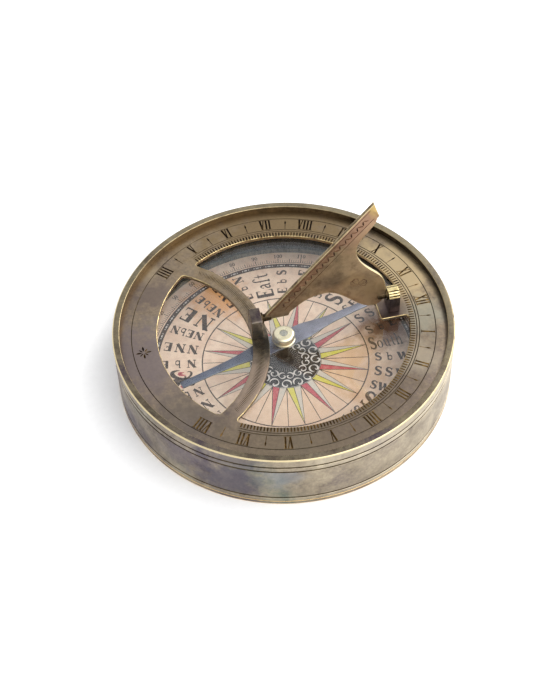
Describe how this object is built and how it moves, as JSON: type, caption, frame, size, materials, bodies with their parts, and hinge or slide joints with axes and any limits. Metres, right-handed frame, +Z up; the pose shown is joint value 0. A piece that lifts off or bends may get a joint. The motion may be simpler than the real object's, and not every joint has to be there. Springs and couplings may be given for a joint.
{
  "type": "sundial compass",
  "caption": "Round brass sundial compass: a card compass under glass, an hour ring with a curved bridge, and a gnomon that folds flat on the noon line.",
  "frame": {"origin": "middle of the flat underside", "axes": "+X along the noon line towards XII, +Z up, +Y towards the morning hours"},
  "size_m": [0.114, 0.114, 0.0709],
  "materials": {
    "case_brass": "antiqued, brushed",
    "dial_brass": "antiqued, engraved",
    "gnomon_brass": "antiqued, engraved",
    "dark_brass": "blackened",
    "bright_brass": "polished",
    "card_paper": "matte printed paper",
    "backing_aluminium": "plain sheet",
    "card_ring_aluminium": "satin",
    "spacer_aluminium": "dark lacquered",
    "glass_clear": "polished",
    "gasket_rubber": "matte",
    "needle_steel": "blued",
    "pivot_steel": "polished",
    "jewel_agate": "polished"
  },
  "bodies": {
    "case": {"case_ring": "case_brass", "base_plate": "case_brass", "card_backing_disc": "backing_aluminium", "compass_card": "card_paper", "card_ring": "card_ring_aluminium", "spacer_ring": "spacer_aluminium", "glass": "glass_clear", "glass_gasket": "gasket_rubber", "dial_plate": "dial_brass", "foot_lug": "dark_brass", "toe_lug": "bright_brass", "foot_lug_screws": "bright_brass", "toe_lug_screws": "bright_brass", "pivot_post": "dark_brass", "pivot_pin": "pivot_steel"},
    "gnomon_blade": {"gnomon": "gnomon_brass", "foot_pin": "bright_brass", "toe_pin": "bright_brass", "foot_washer": "bright_brass", "toe_washer": "bright_brass"},
    "compass_needle": {"needle": "needle_steel", "needle_cap": "bright_brass", "cap_jewel": "jewel_agate"}
  },
  "joints": [
    {"name": "gnomon_fold", "type": "hinge", "parent": "case", "child": "gnomon_blade", "pos_m": [0, 0, 0.0272], "axis": [1, 0, 0], "range_deg": [-96, 96]},
    {"name": "needle_spin", "type": "hinge", "parent": "case", "child": "compass_needle", "pos_m": [0, 0, 0.01345], "axis": [0, 0, 1], "continuous": true}
  ]
}
